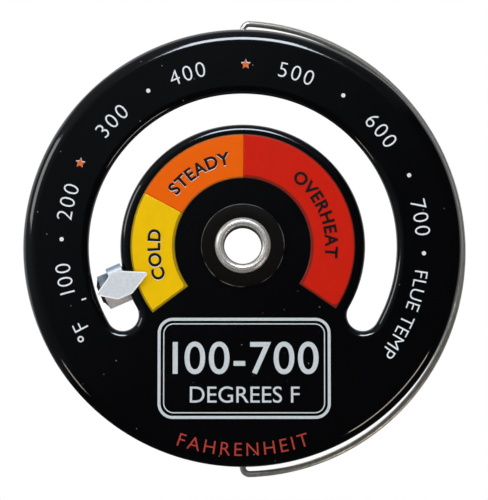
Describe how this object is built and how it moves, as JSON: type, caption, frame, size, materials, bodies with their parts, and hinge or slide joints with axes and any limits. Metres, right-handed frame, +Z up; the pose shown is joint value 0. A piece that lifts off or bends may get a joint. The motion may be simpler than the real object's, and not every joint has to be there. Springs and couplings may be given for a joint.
{
  "type": "magnetic flue thermometer",
  "caption": "Round enamelled dial thermometer with an arched slot, a spiral bimetal pointer, a ring magnet at the back and a swinging wire bail.",
  "frame": {"origin": "on the axis of the hollow rivet, in the plane of the dial's front face", "axes": "+Z up the dial, -Y out of the dial's face towards the reader, +X to the reader's right"},
  "size_m": [0.065, 0.01, 0.067],
  "materials": {
    "black_enamel": "gloss vitreous enamel",
    "yellow_enamel": "gloss enamel",
    "orange_enamel": "gloss enamel",
    "red_enamel": "gloss enamel",
    "black_washer": "matt black",
    "nickel_plate": "bright nickel plate",
    "bracket_steel": "zinc plate",
    "rivet_steel": "bright",
    "bimetal": "rolled, satin",
    "arrow_aluminium": "satin",
    "cup_steel": "zinc plate",
    "ferrite": "sintered ferrite, dull",
    "spring_wire": "drawn wire"
  },
  "bodies": {
    "dial": {"dial_plate": "black_enamel", "low_zone": "yellow_enamel", "normal_zone": "orange_enamel", "high_zone": "red_enamel", "front_washer": "black_washer", "hollow_rivet": "nickel_plate", "coil_bracket": "bracket_steel", "coil_rivet": "rivet_steel", "bimetal_coil": "bimetal", "magnet_cup": "cup_steel", "ring_magnet": "ferrite"},
    "pointer": {"bimetal_arm": "bimetal", "arrow": "arrow_aluminium"},
    "bail": {"wire_bail": "spring_wire"}
  },
  "joints": [
    {"name": "pointer_sweep", "type": "hinge", "parent": "dial", "child": "pointer", "pos_m": [0, 0, 0], "axis": [0, 1, 0], "range_deg": [-20, 215], "stiffness_Nm_per_rad": 0.016, "deforming": ["bimetal_coil"]},
    {"name": "bail_swing", "type": "hinge", "parent": "dial", "child": "bail", "pos_m": [0, 0.0029, 0], "axis": [0, 0, 1], "continuous": true}
  ]
}
